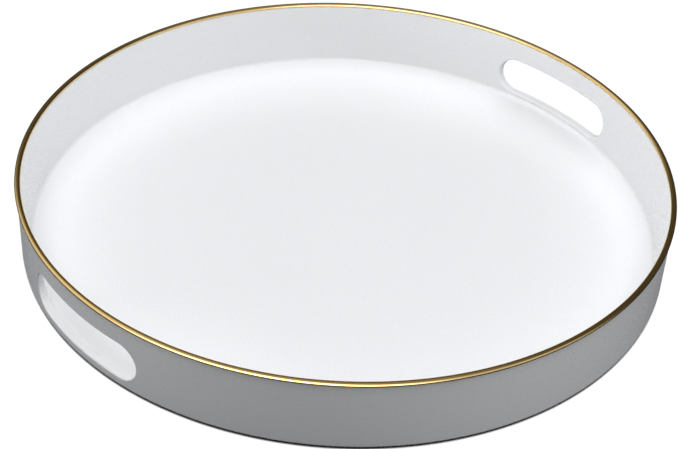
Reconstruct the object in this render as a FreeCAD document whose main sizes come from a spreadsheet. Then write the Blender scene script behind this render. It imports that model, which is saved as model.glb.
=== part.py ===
"""Round dresser vanity tray: a moulded shell with two grip slots, a metal rim bead and stick-on feet.

Frame: +Z up, origin on the table under the centre of the tray, grip slots on the -X and +X sides.
Every length is in millimetres and comes from the sheet named Dimensions.
"""

import FreeCAD, Part

import math
import os
import Sketcher

DIMENSIONS = {
    # The whole tray.
    "rim_diameter": 329.0,
    "overall_height": 39.0,
    "foot_gap": 1.0,
    # The moulded shell.
    "wall_diameter": 327.2,
    "wall_top": 37.1,
    "wall_thickness_top": 2.0,
    "wall_thickness_foot": 4.8,
    "floor_thickness": 2.0,
    "foot_round": 1.2,
    "crease_round": 1.5,
    # The tongue along the top of the wall, and the bead that fits over it.
    "tongue_setback": 0.3,
    "tongue_thickness": 0.8,
    "tongue_height": 0.9,
    "glue_height": 0.2,
    "bead_width": 3.0,
    "bead_side_radius": 0.75,
    # The two grip slots.
    "slot_length": 78.0,
    "slot_height": 19.8,
    "slot_centre_height": 15.9,
    "slot_edge_round": 0.9,
    # The feet: soft discs on adhesive tape, each in a shallow recess.
    "pad_diameter": 12.0,
    "pad_edge_round": 0.35,
    "tape_diameter": 11.0,
    "tape_thickness": 0.2,
    "recess_diameter": 12.6,
    "recess_depth": 0.4,
    "pad_spread": 95.0,
}

# Where each foot stands, in units of pad_spread along X and Y.
FEET = {
    "centre": (0, 0),
    "front_left": (-1, -1),
    "front_right": (1, -1),
    "rear_left": (-1, 1),
    "rear_right": (1, 1),
}

NEAR = 0.05  # how close two measures must be to count as the same edge
SIDE_ARCS = 4  # arcs that each round side of the bead is drawn in
CROWN_ARCS = 3  # arcs that its domed top is drawn in


class Size:
    """A length that carries its number and the sheet expression that gives it."""

    def __init__(self, number, text):
        self.number = float(number)
        self.text = text

    def combine(self, other, sign, result):
        return Size(result, f"({self.text} {sign} {as_size(other).text})")

    def __add__(self, other):
        return self.combine(other, "+", self.number + as_size(other).number)

    def __sub__(self, other):
        return self.combine(other, "-", self.number - as_size(other).number)

    def __mul__(self, other):
        return self.combine(other, "*", self.number * as_size(other).number)

    def __truediv__(self, other):
        return self.combine(other, "/", self.number / as_size(other).number)


def as_size(value):
    return value if isinstance(value, Size) else Size(value, str(value))


def dimension(alias):
    return Size(DIMENSIONS[alias], f"Dimensions.{alias}")


# Sizes that several sub-parts share, worked out from the sheet.
ZERO = Size(0, "0")
FOOT_Z = dimension("foot_gap")
FLOOR_Z = FOOT_Z + dimension("floor_thickness")
WALL_Z = dimension("wall_top")
TONGUE_Z = WALL_Z + dimension("tongue_height")
GLUE_Z = TONGUE_Z + dimension("glue_height")
WALL_OUTER = dimension("wall_diameter") / 2
TONGUE_OUTER = WALL_OUTER - dimension("tongue_setback")
TONGUE_INNER = TONGUE_OUTER - dimension("tongue_thickness")
BEAD_CENTRE = dimension("rim_diameter") / 2 - dimension("bead_width") / 2
BEAD_SIDE = dimension("bead_side_radius")
SLOT_Z = dimension("slot_centre_height")


def make_sheet(doc):
    sheet = doc.addObject("Spreadsheet::Sheet", "Dimensions")
    for row, (alias, number) in enumerate(DIMENSIONS.items(), start=1):
        sheet.set(f"A{row}", alias)
        sheet.set(f"B{row}", str(number))
        sheet.setAlias(f"B{row}", alias)
    doc.recompute()


def make_body(doc, label):
    body = doc.addObject("PartDesign::Body", label)
    body.Label = label
    return body


def make_sketch(body, role, name, height=None):
    """An empty sketch on one of the body's own origin planes, raised by height if it is given."""
    sketch = body.newObject("Sketcher::SketchObject", name)
    plane = next(p for p in body.Origin.OriginFeatures if p.Role == role)
    sketch.AttachmentSupport = [(plane, "")]
    sketch.MapMode = "FlatFace"
    if height is not None:
        sketch.setExpression("AttachmentOffset.Base.z", height.text)
    return sketch


def bind(sketch, kind, *places_and_size):
    """Adds one dimension to a sketch and drives it from the sheet."""
    *places, size = places_and_size
    index = sketch.addConstraint(Sketcher.Constraint(kind, *places, size.number))
    sketch.setExpression(f"Constraints[{index}]", size.text)


def place_point(sketch, geometry, point, across, up):
    """Fixes one point of a sketch at (across, up) from the origin."""
    for kind, size, axis in (("DistanceX", across, -2), ("DistanceY", up, -1)):
        if abs(size.number) < 1e-9:
            sketch.addConstraint(Sketcher.Constraint("PointOnObject", geometry, point, axis))
        elif size.number > 0:
            bind(sketch, kind, -1, 1, geometry, point, size)
        else:
            bind(sketch, kind, geometry, point, -1, 1, ZERO - size)


def draw_outline(sketch, corners):
    """A closed outline of straight lines through the corners."""
    points = [FreeCAD.Vector(across.number, up.number, 0) for across, up in corners]
    count = len(points)
    for i in range(count):
        sketch.addGeometry(Part.LineSegment(points[i], points[(i + 1) % count]), False)
    for i in range(count):
        sketch.addConstraint(Sketcher.Constraint("Coincident", i, 2, (i + 1) % count, 1))
    for i, (across, up) in enumerate(corners):
        place_point(sketch, i, 1, across, up)


def draw_circle(sketch, across, up, diameter):
    centre = FreeCAD.Vector(across.number, up.number, 0)
    circle = Part.Circle(centre, FreeCAD.Vector(0, 0, 1), diameter.number / 2)
    index = sketch.addGeometry(circle, False)
    bind(sketch, "Diameter", index, diameter)
    place_point(sketch, index, 3, across, up)


def draw_arc(sketch, across, up, radius, start, stop):
    """An arc from angle start to angle stop, in radians, and its index in the sketch."""
    centre = FreeCAD.Vector(across.number, up.number, 0)
    circle = Part.Circle(centre, FreeCAD.Vector(0, 0, 1), radius.number)
    return sketch.addGeometry(Part.ArcOfCircle(circle, start, stop), False)


def draw_slot(sketch, length, height, up):
    """A slot with round ends, centred on the sketch's vertical axis."""
    radius = height / 2
    reach = (length - height) / 2
    right = draw_arc(sketch, reach, up, radius, -math.pi / 2, math.pi / 2)
    left = draw_arc(sketch, ZERO - reach, up, radius, math.pi / 2, 3 * math.pi / 2)
    for level, first, second in ((1, right, left), (-1, left, right)):
        ends = [
            FreeCAD.Vector(side * reach.number, up.number + level * radius.number, 0)
            for side in (level, -level)
        ]
        line = sketch.addGeometry(Part.LineSegment(*ends), False)
        sketch.addConstraint(Sketcher.Constraint("Tangent", first, 2, line, 1))
        sketch.addConstraint(Sketcher.Constraint("Tangent", line, 2, second, 1))
    bind(sketch, "Radius", right, radius)
    place_point(sketch, right, 3, reach, up)
    place_point(sketch, left, 3, ZERO - reach, up)


def revolve(body, sketch, name):
    turned = body.newObject("PartDesign::Revolution", name)
    turned.Profile = sketch
    turned.ReferenceAxis = (sketch, ["V_Axis"])
    turned.Angle = 360
    sketch.Document.recompute()
    return turned


def pad(body, sketch, name, length):
    block = body.newObject("PartDesign::Pad", name)
    block.Profile = sketch
    block.setExpression("Length", length.text)
    sketch.Document.recompute()
    return block


def fillet(body, base, name, radius, wanted):
    """Rounds every edge of base that wanted accepts."""
    edges = [f"Edge{i}" for i, edge in enumerate(base.Shape.Edges, start=1) if wanted(edge)]
    if not edges:
        raise RuntimeError(f"{body.Label}: {name} found no edge to round")
    rounded = body.newObject("PartDesign::Fillet", name)
    rounded.Base = (base, edges)
    rounded.setExpression("Radius", radius.text)
    body.Document.recompute()
    return rounded


def ring_edge(radius, height):
    """A test for the level round edge of that radius at that height."""

    def wanted(edge):
        box = edge.BoundBox
        return (
            box.ZLength < NEAR
            and abs(box.ZMin - height.number) < NEAR
            and abs(box.XMax - radius.number) < NEAR
            and abs(box.YMax - radius.number) < NEAR
        )

    return wanted


def slot_rim(edge):
    """True for the edges where the grip slots break through the wall's two faces."""
    box = edge.BoundBox
    reach = DIMENSIONS["slot_height"] / 2 + NEAR
    level = SLOT_Z.number - reach < box.ZMin and box.ZMax < SLOT_Z.number + reach
    within = box.YLength < DIMENSIONS["slot_length"]
    straight = edge.Curve.TypeId == "Part::GeomLine"
    return level and within and not straight


def expect_smaller(before, after, what):
    """Stops the build if a cut has removed nothing."""
    if after.Shape.Volume >= before.Shape.Volume - 1:
        raise RuntimeError(f"{what} cut nothing")


def make_tray_shell(doc):
    """The one-piece moulding: a flat floor, an upright wall with a tongue on top, and two grip slots."""
    body = make_body(doc, "tray_shell")
    inner_top = WALL_OUTER - dimension("wall_thickness_top")
    inner_foot = WALL_OUTER - dimension("wall_thickness_foot")
    section = make_sketch(body, "XZ_Plane", "shell_section")
    corners = [
        (ZERO, FOOT_Z),
        (WALL_OUTER, FOOT_Z),
        (WALL_OUTER, WALL_Z),
        (TONGUE_OUTER, WALL_Z),
        (TONGUE_OUTER, TONGUE_Z),
        (TONGUE_INNER, TONGUE_Z),
        (TONGUE_INNER, WALL_Z),
        (inner_top, WALL_Z),
        (inner_foot, FLOOR_Z),
        (ZERO, FLOOR_Z),
    ]
    draw_outline(section, corners)
    turned = revolve(body, section, "shell_turned")
    foot = fillet(body, turned, "foot_round", dimension("foot_round"), ring_edge(WALL_OUTER, FOOT_Z))
    crease = ring_edge(inner_foot, FLOOR_Z)
    creased = fillet(body, foot, "crease_round", dimension("crease_round"), crease)

    outline = make_sketch(body, "YZ_Plane", "slot_outline")
    draw_slot(outline, dimension("slot_length"), dimension("slot_height"), SLOT_Z)
    slots = body.newObject("PartDesign::Pocket", "grip_slots")
    slots.Profile = outline
    slots.Type = "ThroughAll"
    slots.SideType = "Symmetric"
    doc.recompute()
    expect_smaller(creased, slots, "grip_slots")
    softened = fillet(body, slots, "slot_edge_round", dimension("slot_edge_round"), slot_rim)

    rings = make_sketch(body, "XY_Plane", "recess_rings", height=FOOT_Z)
    for across, up in FEET.values():
        spread = dimension("pad_spread")
        draw_circle(rings, spread * across, spread * up, dimension("recess_diameter"))
    recesses = body.newObject("PartDesign::Pocket", "foot_recesses")
    recesses.Profile = rings
    recesses.setExpression("Length", dimension("recess_depth").text)
    recesses.Reversed = True
    doc.recompute()
    expect_smaller(softened, recesses, "foot_recesses")
    return body


def draw_chain(sketch, across, up, radius, start, stop, count):
    """Equal arcs end to end about one centre, with the radius bound. Returns their indices."""
    steps = [start + (stop - start) * i / count for i in range(count + 1)]
    arcs = [draw_arc(sketch, across, up, radius, low, high) for low, high in zip(steps, steps[1:])]
    for before, after in zip(arcs, arcs[1:]):
        sketch.addConstraint(Sketcher.Constraint("Coincident", before, 3, after, 3))
        sketch.addConstraint(Sketcher.Constraint("Coincident", before, 2, after, 1))
    bind(sketch, "Radius", arcs[0], radius)
    return arcs


def make_rim_bead(doc):
    """The metal bead: round sides, a domed top, and a flat underside with a groove for the tongue."""
    body = make_body(doc, "rim_bead")
    reach = dimension("bead_width") / 2 - BEAD_SIDE
    side_z = WALL_Z + BEAD_SIDE
    # The dome touches both round sides: its centre lies this far below theirs.
    rise = dimension("overall_height") - side_z - BEAD_SIDE
    sink = (reach * reach - rise * rise) / (rise * 2)
    dome = dimension("overall_height") - side_z + sink
    turn = math.atan2(sink.number, reach.number)

    section = make_sketch(body, "XZ_Plane", "bead_section")
    outer = draw_chain(section, BEAD_CENTRE + reach, side_z, BEAD_SIDE, -math.pi / 2, turn, SIDE_ARCS)
    top = draw_chain(section, BEAD_CENTRE, side_z - sink, dome, turn, math.pi - turn, CROWN_ARCS)
    inner = draw_chain(
        section, BEAD_CENTRE - reach, side_z, BEAD_SIDE, math.pi - turn, 3 * math.pi / 2, SIDE_ARCS
    )
    place_point(section, outer[0], 3, BEAD_CENTRE + reach, side_z)
    place_point(section, inner[0], 3, BEAD_CENTRE - reach, side_z)

    groove = [
        (BEAD_CENTRE - reach, WALL_Z),
        (TONGUE_INNER, WALL_Z),
        (TONGUE_INNER, GLUE_Z),
        (TONGUE_OUTER, GLUE_Z),
        (TONGUE_OUTER, WALL_Z),
        (BEAD_CENTRE + reach, WALL_Z),
    ]
    points = [FreeCAD.Vector(across.number, up.number, 0) for across, up in groove]
    lines = [
        section.addGeometry(Part.LineSegment(start, stop), False)
        for start, stop in zip(points, points[1:])
    ]
    for before, after in ((outer, top), (top, inner), (inner, lines), (lines, outer)):
        section.addConstraint(Sketcher.Constraint("Tangent", before[-1], 2, after[0], 1))
    for before, after in zip(lines, lines[1:]):
        section.addConstraint(Sketcher.Constraint("Coincident", before, 2, after, 1))
    for line, (across, up) in zip(lines[1:], groove[1:-1]):
        place_point(section, line, 1, across, up)
    revolve(body, section, "bead_turned")
    return body


def make_rim_glue(doc):
    """The line of adhesive between the top of the tongue and the bottom of the bead's groove."""
    body = make_body(doc, "rim_glue_line")
    section = make_sketch(body, "XZ_Plane", "glue_section")
    corners = [
        (TONGUE_INNER, TONGUE_Z),
        (TONGUE_OUTER, TONGUE_Z),
        (TONGUE_OUTER, GLUE_Z),
        (TONGUE_INNER, GLUE_Z),
    ]
    draw_outline(section, corners)
    revolve(body, section, "glue_turned")
    return body


def make_disc(doc, label, diameter, bottom, thickness):
    """A round disc standing on the height bottom, and its pad feature."""
    body = make_body(doc, label)
    outline = make_sketch(body, "XY_Plane", f"{label}_outline", height=bottom)
    draw_circle(outline, ZERO, ZERO, diameter)
    return body, pad(body, outline, f"{label}_disc", thickness)


def make_foot(doc, name, across, up):
    """One foot: a soft disc on the table, and the round of double-sided tape that holds it in its recess."""
    recess_top = FOOT_Z + dimension("recess_depth")
    pad_top = recess_top - dimension("tape_thickness")
    foot, disc = make_disc(doc, f"foot_pad_{name}", dimension("pad_diameter"), ZERO, pad_top)
    lower_edge = ring_edge(dimension("pad_diameter") / 2, ZERO)
    fillet(foot, disc, f"{name}_edge_round", dimension("pad_edge_round"), lower_edge)
    tape, _ = make_disc(
        doc, f"pad_tape_{name}", dimension("tape_diameter"), pad_top, dimension("tape_thickness")
    )
    for body in (foot, tape):
        body.setExpression("Placement.Base.x", (dimension("pad_spread") * across).text)
        body.setExpression("Placement.Base.y", (dimension("pad_spread") * up).text)
    return [foot, tape]


def check(doc, bodies):
    """Stops the build if any object failed or any sub-part isn't a sound solid."""
    for item in doc.Objects:
        if {"Invalid", "Error"} & set(item.State):
            raise RuntimeError(f"{item.Label} failed: {item.State}")
    for body in bodies:
        shape = body.Shape
        if shape.isNull() or not shape.isValid() or len(shape.Solids) != 1:
            raise RuntimeError(f"{body.Label} isn't one sound solid")


def main():
    doc = FreeCAD.newDocument("vanity_tray")
    make_sheet(doc)
    bodies = [make_tray_shell(doc), make_rim_bead(doc), make_rim_glue(doc)]
    for name, (across, up) in FEET.items():
        bodies += make_foot(doc, name, across, up)
    doc.recompute()
    check(doc, bodies)
    os.makedirs("parts", exist_ok=True)
    for body in bodies:
        body.Shape.exportStep(f"parts/{body.Label}.step")
        print(f"{body.Label}: {body.Shape.Volume:.1f} mm3")


main()
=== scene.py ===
"""Looks for the round dresser vanity tray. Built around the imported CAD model, in its frame, in metres."""
import math

import bpy
import numpy as np
from mathutils import Matrix, Vector
from mathutils.geometry import delaunay_2d_cdt


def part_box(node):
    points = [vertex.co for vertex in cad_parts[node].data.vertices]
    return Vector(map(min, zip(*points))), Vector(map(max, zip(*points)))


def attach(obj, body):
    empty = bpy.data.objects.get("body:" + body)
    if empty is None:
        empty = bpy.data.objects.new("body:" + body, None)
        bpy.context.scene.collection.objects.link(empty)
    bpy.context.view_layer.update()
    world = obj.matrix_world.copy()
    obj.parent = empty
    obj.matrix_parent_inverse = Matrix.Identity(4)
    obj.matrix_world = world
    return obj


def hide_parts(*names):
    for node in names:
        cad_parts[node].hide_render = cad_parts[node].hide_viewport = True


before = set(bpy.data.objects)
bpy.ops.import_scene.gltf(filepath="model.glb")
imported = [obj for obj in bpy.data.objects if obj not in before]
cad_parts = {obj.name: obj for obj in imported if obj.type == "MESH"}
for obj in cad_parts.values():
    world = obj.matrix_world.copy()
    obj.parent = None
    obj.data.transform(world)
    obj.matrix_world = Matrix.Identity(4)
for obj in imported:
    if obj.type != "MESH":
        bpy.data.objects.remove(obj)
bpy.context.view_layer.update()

MM = 0.001
TAU = 2 * math.pi

# ---------------------------------------------------------------- sizes
# Where the pieces are comes from the CAD nodes' boxes. The other sizes repeat the CAD model's own.
SHELL_LO, SHELL_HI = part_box("tray_shell")
BEAD_LO, BEAD_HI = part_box("rim_bead")
GLUE_LO, GLUE_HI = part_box("rim_glue_line")

FLOOR_THICKNESS = 2.0 * MM
WALL_THICKNESS_TOP = 2.0 * MM
WALL_THICKNESS_FOOT = 4.8 * MM
FOOT_ROUND = 1.2 * MM                   # the moulding's bottom outer edge
CREASE_ROUND = 1.5 * MM                 # between the floor and the wall's inner face

WALL_R = SHELL_HI.x                     # the wall's outer face, which is upright
INNER_TOP = WALL_R - WALL_THICKNESS_TOP
INNER_FOOT = WALL_R - WALL_THICKNESS_FOOT
FOOT_Z = SHELL_LO.z                     # the moulding's underside
FLOOR_Z = FOOT_Z + FLOOR_THICKNESS
WALL_TOP = BEAD_LO.z                    # where the bead's flat underside meets the wall

BEAD_WIDTH = 3.0 * MM
BEAD_SIDE = 0.75 * MM                   # radius of the bead's round sides
RIM_R = BEAD_HI.x                       # the bead's outermost radius
BEAD_R = RIM_R - BEAD_WIDTH / 2         # radius of the bead's centreline
BEAD_TOP = BEAD_HI.z

# The tongue on top of the wall fills the bead's groove up to the adhesive.
TONGUE_THICKNESS = 0.8 * MM
TONGUE_OUT = GLUE_HI.x
TONGUE_IN = TONGUE_OUT - TONGUE_THICKNESS
TONGUE_TOP = GLUE_LO.z
GROOVE_TOP = GLUE_HI.z

SLOT_LENGTH = 78.0 * MM
SLOT_HEIGHT = 19.8 * MM
SLOT_Z = 15.9 * MM
SLOT_ROUND = 0.9 * MM                   # the slot's edges, on both faces of the wall
SLOT_END = SLOT_HEIGHT / 2              # radius of the slot's round ends
SLOT_REACH = SLOT_LENGTH / 2 - SLOT_END     # half length of its straight run

RECESS_R = 6.3 * MM                     # the shallow recess round each foot
RECESS_DEPTH = 0.4 * MM
RECESS_EDGE = 0.05 * MM
FOOT_PLACES = [
    ((low + high) / 2).to_2d()
    for low, high in (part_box(name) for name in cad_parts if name.startswith("foot_pad"))
]

# ---------------------------------------------------------------- how finely the meshes are made
WELD = 1e7                              # cells per metre: points in one cell are the same point
PLAIN_COLUMNS = 300                     # columns on each of the two stretches of wall between the slots
FOOT_POINTS = 9                         # the points on each arc of a section, its ends included
CREASE_POINTS = 10
BEAD_SIDE_POINTS = 18
BEAD_DOME_POINTS = 22
BEAD_COLUMNS = 720
RECESS_COLUMNS = 64
FLOOR_RINGS = (0.98, 0.94, 0.85, 0.7, 0.5, 0.3, 0.12)   # as shares of the flat floor's radius

# A slot lies in a patch: a piece of the wall, on either face, with rows and columns of its own.
PATCH_Y = 47 * MM                       # half width of a patch
PATCH_FOOT_OUTER = 3.3 * MM             # height of its lower border on the wall's outer face
PATCH_FOOT_INNER = 4.75 * MM            # and on the inner one
PATCH_TOP = 33 * MM
ABOVE_PATCH = 35 * MM                   # the next row up
TOP_EDGE = 0.05 * MM                    # the inner face's last row is this far below the top
SIDE_ROWS = 24                          # rows on a patch's side
CORNER_COLUMNS = 12                     # columns between the slot's straight run and the patch's side
RUN_COLUMNS = 40                        # columns along the straight run
EDGE_ROWS = 8                           # rows round the slot's rounded edge
PATCH_STEPS = (1.0, 0.8, 0.6, 0.4, 0.25, 0.12, 0.04, 0.0)   # from the patch's border in to the slot's edge


# ---------------------------------------------------------------- mesh helpers
def link(name, data):
    obj = bpy.data.objects.new(name, data)
    bpy.context.scene.collection.objects.link(obj)
    return obj


def steps(start, stop, count):
    """count values, evenly spaced from start towards stop, without stop."""
    return [start + (stop - start) * i / count for i in range(count)]


def arc(cx, cz, radius, start, stop, count):
    """Points (r, z, nr, nz) on an arc, angles in degrees, with outward normals."""
    out = []
    for a in np.radians(np.linspace(start, stop, count)):
        c, s = math.cos(a), math.sin(a)
        out.append((cx + radius * c, cz + radius * s, c, s))
    return out


class Skin:
    """Collects points, each with its normal, and the faces between them."""

    def __init__(self):
        self.points = []
        self.normals = []
        self.faces = []
        self.numbers = {}

    def point(self, place, normal):
        """The number of the point at that place. A point keeps the first normal it was given."""
        cell = tuple(round(c * WELD) for c in place)
        if cell not in self.numbers:
            self.numbers[cell] = len(self.points)
            self.points.append(place)
            self.normals.append(Vector(normal).normalized())
        return self.numbers[cell]

    def circle(self, r, z, nr, nz, count, centre=(0.0, 0.0)):
        """A level ring of points, with the normal nr outward and nz up."""
        out = []
        for a in steps(0, TAU, count):
            c, s = math.cos(a), math.sin(a)
            out.append(self.point((centre[0] + r * c, centre[1] + r * s, z), (nr * c, nr * s, nz)))
        return out

    def strip(self, first, second, gaps=()):
        """Quads between two rings of point numbers, without the spans in gaps."""
        for i in range(len(first)):
            if i not in gaps:
                j = (i + 1) % len(first)
                self.faces.append((first[i], first[j], second[j], second[i]))

    def strips(self, rings, gaps=()):
        for first, second in zip(rings, rings[1:]):
            self.strip(first, second, gaps)

    def disc(self, ring, z, up, centre=(0.0, 0.0)):
        """A flat disc inside a ring, as triangles round its middle; up is 1 or -1."""
        middle = self.point((centre[0], centre[1], z), (0, 0, up))
        for here, following in zip(ring, ring[1:] + ring[:1]):
            self.faces.append((here, following, middle) if up > 0 else (following, here, middle))

    def make(self, name):
        """The smooth mesh object, shaded with the points' own normals."""
        mesh = bpy.data.meshes.new(name)
        mesh.from_pydata(self.points, [], self.faces)
        mesh.validate()
        mesh.shade_smooth()
        mesh.normals_split_custom_set_from_vertices([tuple(n) for n in self.normals])
        mesh.update()
        return link(name, mesh)


# ---------------------------------------------------------------- the wall and its slots
class WallFace:
    """A face of the wall, straight from foot to top. out is 1 for the outer face and -1 for the inner one."""

    def __init__(self, out, foot_r, foot_z, top_r, patch_foot):
        self.out = out
        self.foot_r = foot_r
        self.foot_z = foot_z
        self.slope = (top_r - foot_r) / (WALL_TOP - foot_z)
        self.patch_rows = steps(patch_foot, PATCH_TOP, SIDE_ROWS) + [PATCH_TOP]

    def radius(self, z):
        return self.foot_r + self.slope * (z - self.foot_z)

    def place(self, way, y, z, depth=0.0):
        """The point at y and z, on the +X side for way 1 and the -X side for -1, that deep in the wall."""
        r = self.radius(z)
        return (way * (math.sqrt(r * r - y * y) - self.out * depth), y, z)

    def normal(self, way, y, z):
        x = self.place(way, y, z)[0]
        r = self.radius(z)
        return Vector((x / r, y / r, -self.slope)) * self.out


OUTER = WallFace(1, WALL_R, FOOT_Z, WALL_R, PATCH_FOOT_OUTER)
INNER = WallFace(-1, INNER_FOOT, FLOOR_Z, INNER_TOP, PATCH_FOOT_INNER)

# The y of a patch's columns, from one side to the other.
PATCH_COLUMNS = (steps(-PATCH_Y, -SLOT_REACH, CORNER_COLUMNS) + steps(-SLOT_REACH, SLOT_REACH, RUN_COLUMNS)
                 + steps(SLOT_REACH, PATCH_Y, CORNER_COLUMNS) + [PATCH_Y])


def slot_outline(grow):
    """The slot's outline, grown by that much, as (y, z, ny, nz), anticlockwise from the low left end."""
    radius = SLOT_END + grow
    out = []
    for way in (1, -1):
        for y in steps(-way * SLOT_REACH, way * SLOT_REACH, RUN_COLUMNS):
            out.append((y, SLOT_Z - way * radius, 0, -way))
        low = -way * math.pi / 2
        for a in steps(low, low + math.pi, 2 * CORNER_COLUMNS + SIDE_ROWS):
            c, s = math.cos(a), math.sin(a)
            out.append((way * SLOT_REACH + radius * c, SLOT_Z + radius * s, c, s))
    return out


def patch_border(face):
    """The patch's rectangle as (y, z), point for point with slot_outline."""
    rows = face.patch_rows
    out = [(y, rows[0]) for y in PATCH_COLUMNS[:-1]]
    out += [(PATCH_Y, z) for z in rows[:-1]]
    out += [(y, rows[-1]) for y in PATCH_COLUMNS[:0:-1]]
    out += [(-PATCH_Y, z) for z in rows[:0:-1]]
    return out[CORNER_COLUMNS:] + out[:CORNER_COLUMNS]


def cut_slot(skin, way):
    """A slot: the patch round it on both faces of the wall, its rounded edges and the way through.

    The rings run the other way round where that turns the faces outward.
    """
    outline = slot_outline(0)
    grown = slot_outline(SLOT_ROUND)
    mouths = []
    for face in (OUTER, INNER):
        border = patch_border(face)
        loops = []
        for share in PATCH_STEPS:
            loop = []
            for (border_y, border_z), (edge_y, edge_z, _, _) in zip(border, grown):
                y = border_y * share + edge_y * (1 - share)
                z = border_z * share + edge_z * (1 - share)
                loop.append(skin.point(face.place(way, y, z), face.normal(way, y, z)))
            loops.append(loop)
        for turn in np.radians(np.linspace(0, 90, EDGE_ROWS + 1))[1:]:
            c, s = math.cos(turn), math.sin(turn)
            loop = []
            for edge_y, edge_z, ny, nz in outline:
                y = edge_y + ny * SLOT_ROUND * (1 - s)
                z = edge_z + nz * SLOT_ROUND * (1 - s)
                normal = face.normal(way, y, z) * c - Vector((0, ny, nz)) * s
                loop.append(skin.point(face.place(way, y, z, SLOT_ROUND * (1 - c)), normal))
            loops.append(loop)
        mouths.append(loops[-1])
        skin.strips(loops if face.out == way else loops[::-1])
    skin.strips(mouths if way == 1 else mouths[::-1])


# ---------------------------------------------------------------- the shell
def wall_columns():
    """The columns round the wall, anticlockwise from the slot on +X, as (way, value).

    A column on a patch keeps its y, the value, at any radius. One between the patches keeps its angle,
    and its way is 0.
    """
    edge = math.asin(PATCH_Y / WALL_R)
    plain = steps(edge, math.pi - edge, PLAIN_COLUMNS)[1:]
    columns = [(1, y) for y in PATCH_COLUMNS]
    columns += [(0, a) for a in plain]
    columns += [(-1, -y) for y in PATCH_COLUMNS]
    columns += [(0, math.pi + a) for a in plain]
    return columns


def column_point(column, r):
    way, value = column
    if way:
        return (way * math.sqrt(r * r - value * value), value)
    return (r * math.cos(value), r * math.sin(value))


def foot_recess(skin, centre):
    """The shallow recess for a foot. Returns its rim."""
    rings = []
    for inset, height, across, up in (
        (0, 0, 0, -1),
        (RECESS_EDGE, RECESS_EDGE, -1, 0),
        (RECESS_EDGE, RECESS_DEPTH - RECESS_EDGE, -1, 0),
        (2 * RECESS_EDGE, RECESS_DEPTH, 0, -1),
    ):
        rings.append(skin.circle(RECESS_R - inset, FOOT_Z + height, across, up, RECESS_COLUMNS, centre))
    skin.strips(rings[::-1])
    skin.disc(rings[-1], FOOT_Z + RECESS_DEPTH, -1, centre)
    return rings[0]


def underside(skin, rim):
    """The flat underside inside the rim, round the feet's recesses."""
    loops = [rim] + [foot_recess(skin, centre) for centre in FOOT_PLACES]
    numbers = []
    edges = []
    for loop in loops:
        ends = range(len(numbers), len(numbers) + len(loop))
        edges += zip(ends, [*ends[1:], ends[0]])
        numbers += loop
    flat = [Vector(skin.points[n][:2]) for n in numbers]
    places, _, triangles, sources, _, _ = delaunay_2d_cdt(flat, edges, [], 1, 1 / WELD)
    for triangle in triangles:
        middle = sum((places[i] for i in triangle), Vector((0, 0))) / 3
        if all((middle - centre).length > RECESS_R for centre in FOOT_PLACES):
            skin.faces.append(tuple(numbers[sources[i][0]] for i in reversed(triangle)))


def tray_shell():
    """The whole moulding: up the outer face, over the tongue, down the inner face and in to the middle."""
    skin = Skin()
    columns = wall_columns()
    following = columns[1:] + columns[:1]
    patches = {i for i, (here, there) in enumerate(zip(columns, following)) if here[0] and there[0]}

    def row(r, z, nr, nz):
        """A ring of the wall, with the normal nr outward and nz up."""
        out = []
        for x, y in (column_point(column, r) for column in columns):
            out.append(skin.point((x, y, z), (nr * x / r, nr * y / r, nz)))
        return out

    def face_row(face, z):
        return row(face.radius(z), z, face.out, -face.out * face.slope)

    def flat_row(r, z, up):
        """A ring of the floor or the underside, straight inward from the columns on the outer face."""
        out = []
        for x, y in (column_point(column, WALL_R) for column in columns):
            out.append(skin.point((r * x / WALL_R, r * y / WALL_R, z), (0, 0, up)))
        return out

    foot_r = WALL_R - FOOT_ROUND
    rim = flat_row(foot_r, FOOT_Z, -1)
    underside(skin, rim)
    foot = arc(foot_r, FOOT_Z + FOOT_ROUND, FOOT_ROUND, -90, 0, FOOT_POINTS)
    low = [rim] + [row(*point) for point in foot[1:]]

    outer = [face_row(OUTER, z) for z in OUTER.patch_rows]
    top = [face_row(OUTER, z) for z in (ABOVE_PATCH, WALL_TOP)]
    for r, z in ((TONGUE_OUT, WALL_TOP), (TONGUE_OUT, TONGUE_TOP), (TONGUE_IN, TONGUE_TOP),
                 (TONGUE_IN, WALL_TOP), (INNER_TOP, WALL_TOP)):
        top.append(row(r, z, 0, 1))
    top += [face_row(INNER, z) for z in (WALL_TOP - TOP_EDGE, ABOVE_PATCH)]
    inner = [face_row(INNER, z) for z in reversed(INNER.patch_rows)]

    # The crease's round touches both the floor and the leaning inner face.
    crease_r = INNER_FOOT + CREASE_ROUND * (INNER.slope - math.hypot(1, INNER.slope))
    start = -math.degrees(math.atan(INNER.slope))
    crease = arc(crease_r, FLOOR_Z + CREASE_ROUND, CREASE_ROUND, start, -90, CREASE_POINTS)
    floor = [row(r, z, -nr, -nz) for r, z, nr, nz in crease[:-1]]
    floor += [flat_row(share * crease_r, FLOOR_Z, 1) for share in (1, *FLOOR_RINGS)]

    skin.strips(low + outer[:1])
    skin.strips(outer, patches)
    skin.strips(outer[-1:] + top + inner[:1])
    skin.strips(inner, patches)
    skin.strips(inner[-1:] + floor)
    skin.disc(floor[-1], FLOOR_Z, 1)
    for way in (1, -1):
        cut_slot(skin, way)
    return skin.make("tray_shell_moulding")


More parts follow.
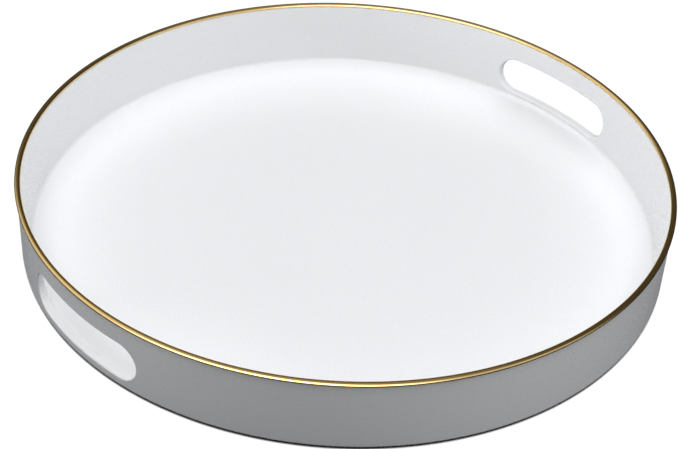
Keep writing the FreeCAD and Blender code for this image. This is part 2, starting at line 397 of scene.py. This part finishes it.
# ---------------------------------------------------------------- the bead
def bead_profile():
    """The bead's section, anticlockwise: round sides and domed top, then the groove over the tongue."""
    reach = BEAD_WIDTH / 2 - BEAD_SIDE
    side_z = WALL_TOP + BEAD_SIDE
    rise = BEAD_TOP - side_z - BEAD_SIDE
    sink = (reach * reach - rise * rise) / (2 * rise)      # the dome's centre lies this far below side_z
    dome = BEAD_TOP - side_z + sink
    turn = math.degrees(math.atan2(sink, reach))
    outer = arc(BEAD_R + reach, side_z, BEAD_SIDE, -90, turn, BEAD_SIDE_POINTS)
    top = arc(BEAD_R, side_z - sink, dome, turn, 180 - turn, BEAD_DOME_POINTS)
    inner = arc(BEAD_R - reach, side_z, BEAD_SIDE, 180 - turn, 270, BEAD_SIDE_POINTS)
    groove = [(TONGUE_IN, WALL_TOP, 0, -1), (TONGUE_IN, GROOVE_TOP, 0, -1),
              (TONGUE_OUT, GROOVE_TOP, 0, -1), (TONGUE_OUT, WALL_TOP, 0, -1)]
    return outer + top[1:-1] + inner + groove


def rim_bead():
    skin = Skin()
    rings = [skin.circle(*point, BEAD_COLUMNS) for point in bead_profile()]
    skin.strips(rings + rings[:1])
    return skin.make("rim_bead_metal")


# ---------------------------------------------------------------- materials
GRAIN_DEPTH = 0.02 * MM                 # height of the finest bumps


def node_material(name):
    mat = bpy.data.materials.new(name)
    mat.use_nodes = True
    return mat, mat.node_tree, mat.node_tree.nodes["Principled BSDF"]


def add(tree, kind, **settings):
    node = tree.nodes.new(kind)
    for key, value in settings.items():
        setattr(node, key, value)
    return node


def noise(tree, pitch, detail):
    """A noise in the object's own space, with about that many spots per metre."""
    coords = add(tree, "ShaderNodeTexCoord")
    tex = add(tree, "ShaderNodeTexNoise")
    tex.inputs["Scale"].default_value = pitch
    tex.inputs["Detail"].default_value = detail
    tree.links.new(coords.outputs["Object"], tex.inputs["Vector"])
    return tex.outputs["Fac"]


def ramp(tree, source, low, high, socket, start=0.3, stop=0.7):
    """Runs from the colour low to the colour high as the source goes from start to stop, into a socket."""
    node = add(tree, "ShaderNodeValToRGB")
    for element, position, colour in zip(node.color_ramp.elements, (start, stop), (low, high)):
        element.position = position
        element.color = colour
    tree.links.new(source, node.inputs["Fac"])
    tree.links.new(node.outputs["Color"], socket)


def grey(value):
    return (value, value, value, 1)


def fine_surface(tree, shader, pitch, rough_low, rough_high, strength):
    """A fine even grain: slight changes of roughness, and a shallow bump of the same pitch."""
    grain = noise(tree, pitch, 3.0)
    ramp(tree, grain, grey(rough_low), grey(rough_high), shader.inputs["Roughness"])
    bump = add(tree, "ShaderNodeBump")
    bump.inputs["Strength"].default_value = strength
    bump.inputs["Distance"].default_value = GRAIN_DEPTH
    tree.links.new(grain, bump.inputs["Height"])
    tree.links.new(bump.outputs["Normal"], shader.inputs["Normal"])


def white_plastic():
    mat, tree, shader = node_material("shell_white")
    speck = noise(tree, 2600.0, 2.0)
    ramp(tree, speck, (0.802, 0.806, 0.816, 1), (0.808, 0.812, 0.822, 1), shader.inputs["Base Color"])
    shader.inputs["IOR"].default_value = 1.5
    fine_surface(tree, shader, pitch=1700.0, rough_low=0.26, rough_high=0.30, strength=0.02)
    return mat


def gold_metal():
    mat, tree, shader = node_material("bead_gold")
    speck = noise(tree, 700.0, 3.0)
    ramp(tree, speck, (0.85, 0.62, 0.27, 1), (0.91, 0.68, 0.32, 1), shader.inputs["Base Color"])
    shader.inputs["Metallic"].default_value = 1.0
    fine_surface(tree, shader, pitch=2200.0, rough_low=0.13, rough_high=0.18, strength=0.06)
    return mat


def cloudy(name, pitch, low, high, rough_low, rough_high):
    """A dull material whose colour and roughness drift a little together."""
    mat, tree, shader = node_material(name)
    cloud = noise(tree, pitch, 3.0)
    ramp(tree, cloud, low, high, shader.inputs["Base Color"])
    ramp(tree, cloud, grey(rough_low), grey(rough_high), shader.inputs["Roughness"])
    return mat


def silicone():
    return cloudy("pad_silicone", 300.0, (0.62, 0.63, 0.63, 1), (0.70, 0.71, 0.71, 1), 0.45, 0.6)


def adhesive(name, low, high):
    return cloudy(name, 500.0, low, high, 0.5, 0.75)


def paint(obj, mat):
    obj.data.materials.clear()
    obj.data.materials.append(mat)


shell = tray_shell()
bead = rim_bead()
paint(shell, white_plastic())
paint(bead, gold_metal())

for prefix, mat in (
    ("foot_pad", silicone()),
    ("rim_glue_line", adhesive("glue_clear", (0.60, 0.54, 0.38, 1), (0.70, 0.64, 0.46, 1))),
    ("pad_tape", adhesive("tape_white", (0.72, 0.72, 0.69, 1), (0.80, 0.80, 0.78, 1))),
):
    for name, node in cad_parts.items():
        if name.startswith(prefix):
            paint(node, mat)

for piece, node, slot in ((shell, "tray_shell", "shell_white"), (bead, "rim_bead", "bead_gold")):
    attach(piece, "root")
    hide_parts(node)


# ---------------------------------------------------------------- the floor under the tray
FLOOR_HALF = 6.0                        # half the floor's side
FLOOR_GLOW = 1.0                        # what the camera sees of the floor and of the room behind it
FLOOR_PAINTED_BOUNCE = 0.10                     # painted bounce light: the floor's glow that the tray gets from the floor away from it
BOUNCE_FADE = 60 * MM                   # the width outside the rim over which that painted light comes up out of the painted shade round the tray
CONTACT_REACH = 1.6 * MM                # how far the painted contact shadow reaches on the floor
CONTACT_DARK = 0.60                     # the share of open sky at which the painted contact shadow is black
CONTACT_CLEAR = 0.84                    # and at which it is plain white again
CONTACT_SAMPLES = 16


def studio_floor():
    """A plain white floor that glows, with a painted contact shadow in its glow only where the tray all but
    touches it.

    Its glow also gives the tray a dim painted bounce light from below, which fades out close to the tray as a
    painted shade.
    """
    mesh = bpy.data.meshes.new("studio_floor")
    half = FLOOR_HALF
    corners = [(-half, -half, 0), (half, -half, 0), (half, half, 0), (-half, half, 0)]
    mesh.from_pydata(corners, [], [(0, 1, 2, 3)])
    floor = link("studio_floor", mesh)
    mat, tree, shader = node_material("studio_floor")
    shader.inputs["Base Color"].default_value = grey(0.02)
    shader.inputs["Roughness"].default_value = 0.9
    shader.inputs["Emission Strength"].default_value = 1.0
    glow = add(tree, "ShaderNodeMix", data_type="RGBA")
    tree.links.new(glow.outputs["Result"], shader.inputs["Emission Color"])

    paths = add(tree, "ShaderNodeLightPath")
    tree.links.new(paths.outputs["Is Camera Ray"], glow.inputs["Factor"])

    coords = add(tree, "ShaderNodeTexCoord")
    distance = add(tree, "ShaderNodeVectorMath", operation="LENGTH")
    tree.links.new(coords.outputs["Object"], distance.inputs[0])
    # painted bounce light: for rays other than the camera's the floor glows, black at the rim as a painted
    # shade and brighter away from it
    painted_bounce = add(tree, "ShaderNodeMapRange", interpolation_type="SMOOTHSTEP")
    painted_bounce.inputs["From Min"].default_value = RIM_R
    painted_bounce.inputs["From Max"].default_value = RIM_R + BOUNCE_FADE
    painted_bounce.inputs["To Max"].default_value = FLOOR_PAINTED_BOUNCE
    tree.links.new(distance.outputs["Value"], painted_bounce.inputs["Value"])
    tree.links.new(painted_bounce.outputs["Result"], glow.inputs["A"])

    # painted contact shadow: the glow the camera sees goes black where ambient occlusion finds the tray close
    # by
    painted_contact_shadow = add(tree, "ShaderNodeAmbientOcclusion", samples=CONTACT_SAMPLES)
    painted_contact_shadow.inputs["Distance"].default_value = CONTACT_REACH
    ramp(tree, painted_contact_shadow.outputs["AO"], grey(0.0), grey(FLOOR_GLOW), glow.inputs["B"],
         CONTACT_DARK, CONTACT_CLEAR)

    paint(floor, mat)
    floor.visible_glossy = False


studio_floor()


# ---------------------------------------------------------------- the light
# Lights and cards are placed from the camera's side, as (right, away, up).
CAMERA_AZIMUTH = math.radians(226.4)
RIGHT = Vector((-math.sin(CAMERA_AZIMUTH), math.cos(CAMERA_AZIMUTH), 0))
AWAY = Vector((-math.cos(CAMERA_AZIMUTH), -math.sin(CAMERA_AZIMUTH), 0))

COOL = (0.975, 0.985, 1.0)
WARM = (1.0, 0.86, 0.64, 1)

LIGHTS = (
    # name, place, width and height, power
    ("over", (0.0, 0.105, 1.195), (1.6, 1.2), 15.2),
    ("over_front", (0.0, -0.7, 1.212), (1.0, 0.8), 6.6),
    ("side_left", (-1.48, 0.0, 0.235), (0.8, 0.35), 7.4),
    ("side_right", (1.48, 0.0, 0.235), (0.8, 0.35), 4.0),
    ("front_right", (1.048, -1.048, 0.235), (0.8, 0.35), 2.4),
)
ROOM_LIGHT = 0.05                       # what the tray's own shading gets from all round

# Pale cards that only reflections show. A card fades in between two cosines of the angle to its middle.
CARDS = (
    # the way to its middle, the cosine at its edge, the cosine where it is full, strength
    ((-0.30, -0.92, 0.24), 0.52, 0.95, 3.2),
    ((0.66, -0.70, 0.26), 0.55, 0.95, 0.6),
    ((-1.0, 0.0, 0.25), 0.5, 0.95, 0.6),
)
CEILING_WAY = (-0.6, -0.15, 1.0)        # the same for a warm ceiling: cosines, then strengths
CEILING = (0.3, 0.95, 0.06, 0.40)
HORIZON = (-0.20, 0.10, 0.02, 1.0)      # the share of all that is left below the horizon and above it


def place_at(right, away, up):
    return RIGHT * right + AWAY * away + Vector((0, 0, up))


def area_light(name, place, size, power):
    """A light that faces the tray and doesn't show in reflections."""
    data = bpy.data.lights.new(name, "AREA")
    data.shape = "RECTANGLE"
    data.size, data.size_y = size
    data.energy = power
    data.color = COOL
    lamp = link(name, data)
    lamp.location = place_at(*place)
    lamp.rotation_mode = "QUATERNION"
    lamp.rotation_quaternion = (-place_at(*place)).to_track_quat("-Z", "Y")
    lamp.visible_glossy = False


def studio_world():
    """The surroundings: a white backdrop for the camera and an even dim room for the tray's own shading.

    Reflections see three pale cards low down and a warm ceiling, faded out below the horizon.
    """
    world = bpy.data.worlds.new("studio")
    bpy.context.scene.world = world
    world.use_nodes = True
    tree = world.node_tree
    tree.nodes.remove(tree.nodes["Background"])
    coords = add(tree, "ShaderNodeTexCoord")
    paths = add(tree, "ShaderNodeLightPath")

    def toward(direction, low, high, dim, bright):
        """Goes from dim to bright as the cosine of the angle to a direction goes from low to high."""
        dot = add(tree, "ShaderNodeVectorMath", operation="DOT_PRODUCT")
        dot.inputs[1].default_value = direction.normalized()
        tree.links.new(coords.outputs["Generated"], dot.inputs[0])
        rise = add(tree, "ShaderNodeMapRange", interpolation_type="SMOOTHSTEP")
        rise.inputs["From Min"].default_value = low
        rise.inputs["From Max"].default_value = high
        rise.inputs["To Min"].default_value = dim
        rise.inputs["To Max"].default_value = bright
        tree.links.new(dot.outputs["Value"], rise.inputs["Value"])
        return rise.outputs["Result"]

    def combine(kind, first, second):
        node = add(tree, "ShaderNodeMath", operation=kind)
        tree.links.new(first, node.inputs[0])
        tree.links.new(second, node.inputs[1])
        return node.outputs["Value"]

    def background(colour, strength):
        """strength is a number, or the socket that it comes from."""
        node = add(tree, "ShaderNodeBackground")
        node.inputs["Color"].default_value = colour
        if isinstance(strength, float):
            node.inputs["Strength"].default_value = strength
        else:
            tree.links.new(strength, node.inputs["Strength"])
        return node.outputs["Background"]

    def mix(ray, otherwise, seen):
        """seen for one kind of ray, and otherwise for the rest."""
        node = add(tree, "ShaderNodeMixShader")
        tree.links.new(paths.outputs[ray], node.inputs["Fac"])
        tree.links.new(otherwise, node.inputs[1])
        tree.links.new(seen, node.inputs[2])
        return node.outputs["Shader"]

    cards = [toward(place_at(*way), edge, full, 0.0, power) for way, edge, full, power in CARDS]
    horizon = toward(Vector((0, 0, 1)), *HORIZON)
    ceiling = toward(place_at(*CEILING_WAY), *CEILING)
    white = combine("ADD", combine("ADD", cards[0], cards[1]), cards[2])
    reflected = add(tree, "ShaderNodeAddShader")
    tree.links.new(background(grey(1.0), combine("MULTIPLY", white, horizon)), reflected.inputs[0])
    tree.links.new(background(WARM, combine("MULTIPLY", ceiling, horizon)), reflected.inputs[1])

    room = mix("Is Glossy Ray", background(grey(1.0), ROOM_LIGHT), reflected.outputs["Shader"])
    surface = mix("Is Camera Ray", room, background(grey(1.0), FLOOR_GLOW))
    tree.links.new(surface, tree.nodes["World Output"].inputs["Surface"])


for light in LIGHTS:
    area_light(*light)
studio_world()

scene = bpy.context.scene
scene.view_settings.view_transform = "Standard"
scene.view_settings.look = "None"
scene.view_settings.exposure = 0.0
scene.view_settings.gamma = 1.0


# ---------------------------------------------------------------- the camera
SENSOR_WIDTH = 36.0                     # the sensor and the lens, in the camera's own millimetres
LENS = 82.0842
ELEVATION = math.radians(36.73)
ROLL = math.radians(-3.226)
DISTANCE = 4.9132 * BEAD_R              # from the middle of the tray's base
AIM_RIGHT = 0.002816                    # tangents of the angles from the picture's middle to the base's
AIM_UP = 0.001841


def make_camera():
    back = place_at(0, -math.cos(ELEVATION), math.sin(ELEVATION))
    level = Matrix((RIGHT, RIGHT.cross(-back), back))
    roll = Matrix.Rotation(ROLL, 3, "Z")
    aim = Vector((AIM_RIGHT, AIM_UP, -1)).normalized()
    turn = Vector((0, 0, -1)).rotation_difference(aim).to_matrix()
    rows = turn @ roll @ level
    data = bpy.data.cameras.new("photo_camera")
    data.sensor_fit = "HORIZONTAL"
    data.sensor_width = SENSOR_WIDTH
    data.lens = LENS
    data.clip_start = 0.01
    data.clip_end = 50.0
    camera = link("photo_camera", data)
    place = Vector((0, 0, FOOT_Z)) + back * DISTANCE
    camera.matrix_world = Matrix.Translation(place) @ rows.transposed().to_4x4()
    scene.camera = camera


make_camera()
